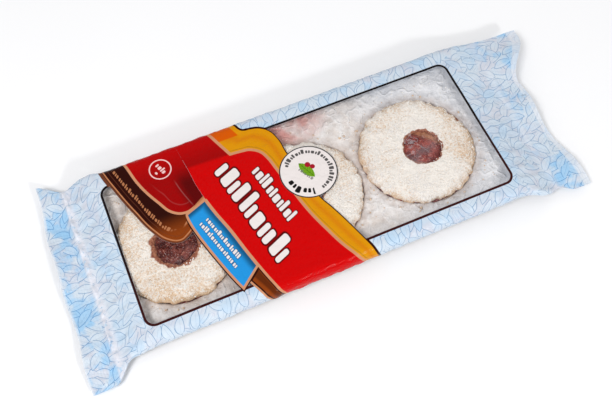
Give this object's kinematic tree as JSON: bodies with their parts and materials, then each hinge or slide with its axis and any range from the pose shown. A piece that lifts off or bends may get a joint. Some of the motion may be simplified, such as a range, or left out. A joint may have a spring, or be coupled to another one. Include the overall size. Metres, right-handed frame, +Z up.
{
  "type": "linzer cookie pack",
  "caption": "Long flat sealed film pack of round sugar-dusted jam biscuits, with a clear window, a red band and crimped end fins.",
  "frame": {"origin": "middle of the pack's box, on the flat underside that it rests on", "axes": "+X along the pack towards the end with the raised corner, +Y across it towards the side furthest from the window's lower border, +Z up through the printed front"},
  "size_m": [0.3207, 0.13, 0.0168],
  "materials": {
    "printed_film": "gloss",
    "biscuit": "matte",
    "jam": "gloss",
    "icing_sugar": "matte",
    "tray": "satin"
  },
  "bodies": {
    "root": {"biscuit_pack": "printed_film"}
  },
  "joints": []
}
